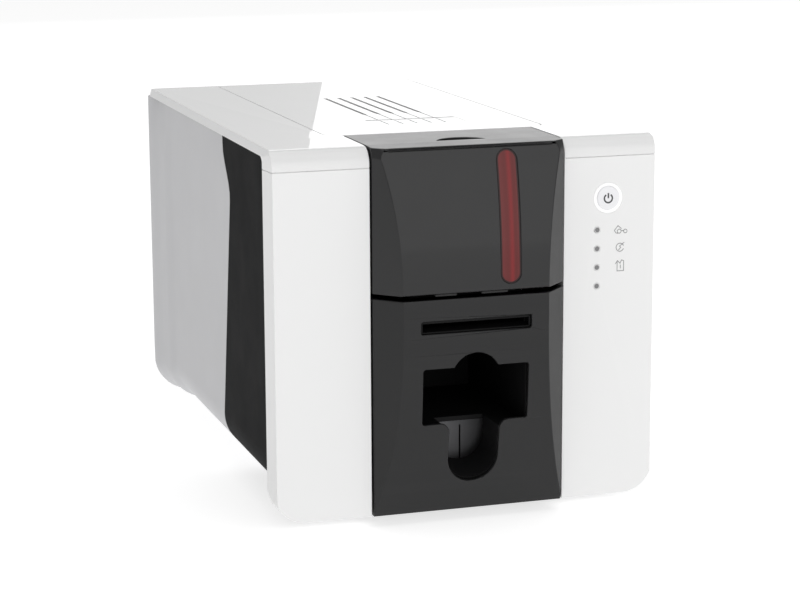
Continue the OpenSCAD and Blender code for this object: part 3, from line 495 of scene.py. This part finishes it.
def islands(node):
    """The separate solids of a node, each as a bmesh with its bounds in mm."""
    bm = bmesh.new()
    bm.from_mesh(NODES[node].data)
    bmesh.ops.remove_doubles(bm, verts=bm.verts, dist=2e-6)
    seen, out = set(), []
    for v in bm.verts:
        if v.index in seen:
            continue
        stack, part = [v], []
        seen.add(v.index)
        while stack:
            a = stack.pop()
            part.append(a)
            for e in a.link_edges:
                b = e.other_vert(a)
                if b.index not in seen:
                    seen.add(b.index)
                    stack.append(b)
        out.append(part)
    res = []
    for part in out:
        keep = set(v.index for v in part)
        c = bmesh.new()
        m = {v.index: c.verts.new(v.co) for v in part}
        for f in bm.faces:
            if f.verts[0].index in keep:
                try:
                    c.faces.new([m[v.index] for v in f.verts])
                except ValueError:
                    pass
        lo = Vector([min(v.co[i] for v in part) for i in range(3)]) / MM
        hi = Vector([max(v.co[i] for v in part) for i in range(3)]) / MM
        res.append((lo, hi, c))
    bm.free()
    return res


def long_edges(limit):
    return lambda a, b, e: (a - b).length > limit


def groove(a, b):
    """Edges of the fine grooves and slots in the lid."""
    return max(abs(a.x), abs(b.x)) < 55 and min(a.z, b.z) > 193 and -60.5 < (a.y + b.y) / 2 < 66


def cover_edge(a, b, e):
    """Outer edges of the top cover; the edges of its lid opening and its underside stay sharp."""
    if min(a.z, b.z) < 184.0 or max(abs(a.x), abs(b.x)) < 50:
        return False
    if max(a.z, b.z) < 191.3 and min(abs(a.x), abs(b.x)) > 101:
        return False
    return min(abs(a.x), abs(b.x)) > 61 or max(a.y, b.y) < -94


# the cover's faces take one of three copies of the white by their facing: the top keeps the gloss, the side band the
# painted light copy, the front lip the painted shade copy
fine("top_cover", 0.3, 2, keep=cover_edge, mats=[M["white_gloss"], M["white_lip_painted_shade"], M["white_band_painted_light"]],
     pick=lambda c, n: 0 if n.z > 0.9 else 2 if abs(n.x) > 0.3 and abs(c.x) > 98 and c.y > -135 else 1)
fine("lid", 0.12, 1, keep=lambda a, b, e: not groove(a, b) and min(a.z, b.z) > 191.5)


def fascia_edges(a, b, e):
    """Front edges only, without the short ones where the rim meets the flank near the foot."""
    near = min(abs(a.x), abs(b.x)) > 101.0 and max(a.y, b.y) > -128.6 and min(a.z, b.z) < 27.0
    return min(a.y, b.y) < -127 and not near


fine("fascia_left", 0.3, 2, keep=fascia_edges)
fine("fascia_right", 0.3, 2, keep=fascia_edges)
fine("body_collar", 0.3, 2)
fine("lower_front_panel", 0.35, 2, angle=24.0, flat=0.02, mats=[M["black_panel"]],
     keep=lambda a, b, e: min(a.y, b.y) < -138)
fine("feeder_door", 0.35, 2, angle=24.0, keep=lambda a, b, e: (a.y + b.y) / 2 < -93)
fine("rear_panel", 0.25, 1, mats=[M["black_rear"]])
for side in ("side_panel_left", "side_panel_right"):
    fine(side, 0.3, 2, angle=50.0, flat=0.05, keep=lambda a, b, e: min(a.z, b.z) < 190 or min(a.y, b.y) > 150)
fine("base_plate", 0.4, 2)


def film_pick(y):
    def f(c, n):
        r = math.hypot(c.y - y, c.z - 140)
        return 1 if abs(c.x) < 28.4 and r > 6.6 and abs(n.x) < 0.5 else 0
    return f


fine("supply_spool", 0, mats=[M["spool_blue"], M["film_dark"]], pick=film_pick(92))
fine("takeup_spool", 0, mats=[M["spool_grey"], M["film_dark"]], pick=film_pick(4))



def board_pick(c, n):
    """Laminate, stand-offs, chips, connectors and capacitors of the main board."""
    if c.x < 59.62:
        return 1
    if c.x < 61.22:
        return 0
    if math.hypot(c.y - 98, c.z - 100) < 5.2 or math.hypot(c.y - 111, c.z - 100) < 5.2 \
            or math.hypot(c.y - 124, c.z - 100) < 5.2:
        return 3 if c.x > 74.9 else 4
    if (9 < c.y < 41 and c.z < 35) or (55 < c.y < 91 and c.z > 97):
        return 5
    return 2


fine("main_board", 0, mats=[M["board_green"], M["steel_bright"], M["chip"], M["aluminium"], M["cap_sleeve"],
                            M["white_conn"]], pick=board_pick)


def socket_pick(c, n):
    if math.hypot(c.x - 70, c.z - 92) < 4.2 and c.y > 141.2:
        return 0
    if math.hypot(c.x - 70, c.z - 92) < 8 or (64 < c.x < 70 and 64 < c.z < 69 and c.y > 139):
        return 1
    return 0


fine("rear_sockets", 0, mats=[M["socket_metal"], M["chip"]], pick=socket_pick)

for i, (lo, hi, c) in enumerate(islands("status_lamps")):
    size = hi - lo
    if size.x < 4:
        mat = M["lamp_lens"]
    elif size.x > 20:
        mat = M["board_green"]
    elif size.x > 14:
        mat = M["ring_light"]
    else:
        mat = M["chip"]
    ob = add("lamp_%d" % i, c, mat, "case")
    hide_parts("status_lamps")


def button_cap():
    """The power button: a cap with a soft dish and a rounded edge, on its stem."""
    prof = [(0.0, 0.18), (2.0, 0.16), (3.6, 0.10), (4.6, 0.03), (5.2, 0.0), (5.8, 0.05), (6.05, 0.2),
            (6.17, 0.45), (6.17, 2.5), (2.0, 2.5), (2.0, 7.5), (0.0, 7.5)]
    bm = bmesh.new()
    n = 96
    rings = []
    for r, d in prof:
        y = (-142.1 + d) * MM
        if r == 0:
            rings.append([bm.verts.new((75.5 * MM, y, 163.3 * MM))])
        else:
            rings.append([bm.verts.new(((75.5 + r * math.cos(2 * math.pi * k / n)) * MM, y,
                                        (163.3 + r * math.sin(2 * math.pi * k / n)) * MM)) for k in range(n)])
    for a, b in zip(rings, rings[1:]):
        for k in range(n):
            k2 = (k + 1) % n
            if len(a) == 1:
                bm.faces.new((a[0], b[k], b[k2]))
            elif len(b) == 1:
                bm.faces.new((a[k], b[0], a[k2]))
            else:
                bm.faces.new((a[k], b[k], b[k2], a[k2]))
    bmesh.ops.recalc_face_normals(bm, faces=bm.faces)
    ob = add("button_cap", bm, M["button_white"], "button", 40)
    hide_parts("power_button")


button_cap()


def stroke(bm, pts, w, y, t, closed=False):
    """A printed line of width w mm along points in X and Z, t mm thick, its front at y."""
    n = len(pts)
    left, right = [], []
    for i, (x, z) in enumerate(pts):
        if closed:
            a, b = Vector(pts[i - 1]), Vector(pts[(i + 1) % n])
            p = Vector((x, z))
            d1, d2 = (p - a).normalized(), (b - p).normalized()
        else:
            p = Vector((x, z))
            d1 = (p - Vector(pts[i - 1])).normalized() if i else (Vector(pts[1]) - p).normalized()
            d2 = (Vector(pts[i + 1]) - p).normalized() if i < n - 1 else d1
        nn = Vector((-(d1.y + d2.y), d1.x + d2.x))
        nn.normalize()
        k = max(0.35, nn.dot(Vector((-d1.y, d1.x))))
        off = nn * (w / 2 / k)
        left.append(p + off)
        right.append(p - off)
    rows = []
    for l, r in zip(left, right):
        rows.append([bm.verts.new((q.x * MM, yy * MM, q.y * MM)) for q, yy in
                     ((l, y), (r, y), (r, y + t), (l, y + t))])
    m = n if closed else n - 1
    for i in range(m):
        a, b = rows[i], rows[(i + 1) % n]
        for j in range(4):
            bm.faces.new((a[j], b[j], b[(j + 1) % 4], a[(j + 1) % 4]))
    if not closed:
        bm.faces.new(rows[0])
        bm.faces.new(rows[-1][::-1])


def arc(cx, cz, r, a0, a1, n):
    return [(cx + r * math.cos(math.radians(a0 + (a1 - a0) * i / n)),
             cz + r * math.sin(math.radians(a0 + (a1 - a0) * i / n))) for i in range(n + 1)]


def marks():
    yf = -141.6
    # stand-by symbol on the button
    bm = bmesh.new()
    stroke(bm, arc(75.5, 163.1, 2.2, 125, 415, 40), 0.8, -142.03, 0.09)
    stroke(bm, [(75.5, 163.2), (75.5, 165.9)], 0.8, -142.03, 0.09)
    bmesh.ops.recalc_face_normals(bm, faces=bm.faces)
    add("button_symbol", bm, M["symbol_grey"], "button")
    # generic pictograms beside the lamps: ribbon, cleaning, card
    bm = bmesh.new()
    y, t, w = yf - 0.02, 0.05, 0.42
    stroke(bm, [(79.2, 146.2), (81.2, 148.6), (83.2, 146.9)], w, y, t)
    stroke(bm, [(79.2, 146.2), (80.1, 144.9), (81.2, 144.6)], w, y, t)
    stroke(bm, arc(81.9, 145.7, 1.05, 0, 352, 26), w, y, t)
    stroke(bm, [(82.9, 145.9), (84.6, 145.9)], w, y, t)
    stroke(bm, arc(85.3, 145.6, 0.95, 0, 352, 26), w, y, t)
    stroke(bm, arc(82.4, 137.3, 2.1, 20, 340, 34), w, y, t)
    stroke(bm, [(81.6, 135.9), (82.9, 137.2), (82.2, 137.9), (84.8, 139.8)], w, y, t)
    stroke(bm, [(81.0, 130.2), (81.0, 125.0), (84.6, 125.0), (84.6, 130.2)], w, y, t)
    stroke(bm, [(80.0, 128.7), (81.2, 130.4), (82.6, 128.9), (83.4, 130.6), (84.6, 130.2)], w, y, t)
    stroke(bm, [(82.8, 128.2), (82.8, 126.2)], w, y, t)
    bmesh.ops.recalc_face_normals(bm, faces=bm.faces)
    add("pictograms", bm, M["print_grey"], "case")


marks()


# ------------------------------------------------------------------- stage
def stage_material():
    m = Mat("pale_floor")
    m.set(Roughness=0.8)
    m.b.inputs["Specular IOR Level"].default_value = 0.2
    m.color(m.mix(m.noise(3.0, 3.0), (0.52, 0.52, 0.52), (0.55, 0.55, 0.55)))
    m.b.inputs["Emission Color"].default_value = (1, 1, 1, 1)
    m.b.inputs["Emission Strength"].default_value = FLOOR_GLOW
    m.normal(m.bump(m.noise(250.0, 3.0), 0.05, 0.0002))
    return m.m


WORLD, FLOOR_GLOW = 0.36, 0.72
LIGHTS = {"front": 1.34, "left": 0.1, "top": 0.95, "back": 1.05, "fill": 0.32}


def floor():
    bm = bmesh.new()
    bmesh.ops.create_circle(bm, cap_ends=True, radius=12.0, segments=96)
    me = bpy.data.meshes.new("floor")
    bm.to_mesh(me)
    bm.free()
    ob = bpy.data.objects.new("floor", me)
    bpy.context.scene.collection.objects.link(ob)
    me.materials.append(stage_material())
    ob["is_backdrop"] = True
    return ob


floor()

world = bpy.data.worlds.new("studio")
bpy.context.scene.world = world
world.use_nodes = True
world.node_tree.nodes["Background"].inputs["Color"].default_value = (WORLD, WORLD, WORLD, 1)
world.node_tree.nodes["Background"].inputs["Strength"].default_value = 1.0


def area(name, at, to, sx, sy, radiance, camera=False, roll=0.0):
    """A soft box that faces the point to; radiance is what it shows, in scene units."""
    d = bpy.data.lights.new(name, "AREA")
    d.shape = "RECTANGLE"
    d.size, d.size_y = sx, sy
    d.energy = radiance * math.pi * sx * sy
    ob = bpy.data.objects.new(name, d)
    bpy.context.scene.collection.objects.link(ob)
    ob.location = at
    q = (Vector(to) - Vector(at)).to_track_quat("-Z", "Y") @ Quaternion((0, 0, 1), math.radians(roll))
    ob.rotation_mode = "QUATERNION"
    ob.rotation_quaternion = q
    ob.visible_camera = camera
    return ob


area("soft_front", (0.35, -3.2, 1.1), (0, -0.1, 0.1), 3.0, 2.2, LIGHTS["front"])
area("soft_left", (-2.6, -0.4, 1.3), (0, 0, 0.1), 2.0, 1.6, LIGHTS["left"])
area("soft_top", (0.1, 0.0, 2.5), (0, 0, 0.1), 3.0, 3.0, LIGHTS["top"])
# behind and to the right: its edge shows in the gloss of the top
area("soft_back", (1.874, 3.0, 1.46), (1.874, 0.0, 1.46), 2.5, 1.95, LIGHTS["back"], roll=-12.9)
area("soft_fill", (0.31, 3.0, 1.10), (0.31, 0.0, 1.10), 0.71, 1.95, LIGHTS["fill"], roll=-12.9)

# ------------------------------------------------------------------ camera
yaw, pitch, roll = math.radians(17.58), math.radians(11.71), math.radians(-0.275)
fwd = Vector((math.sin(yaw) * math.cos(pitch), math.cos(yaw) * math.cos(pitch), -math.sin(pitch)))
right = Vector((math.cos(yaw), -math.sin(yaw), 0.0))
up = right.cross(fwd)
r2 = right * math.cos(roll) + up * math.sin(roll)
u2 = up * math.cos(roll) - right * math.sin(roll)
cd = bpy.data.cameras.new("camera")
cd.sensor_width = 36.0
cd.lens = 103.81
cd.clip_start, cd.clip_end = 0.05, 60.0
cam = bpy.data.objects.new("camera", cd)
bpy.context.scene.collection.objects.link(cam)
cam.matrix_world = Matrix(((r2.x, u2.x, -fwd.x, -0.37725), (r2.y, u2.y, -fwd.y, -1.21821),
                           (r2.z, u2.z, -fwd.z, 0.35168), (0, 0, 0, 1)))
bpy.context.scene.camera = cam
bpy.context.scene.view_settings.view_transform = "Standard"

lo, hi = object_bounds()
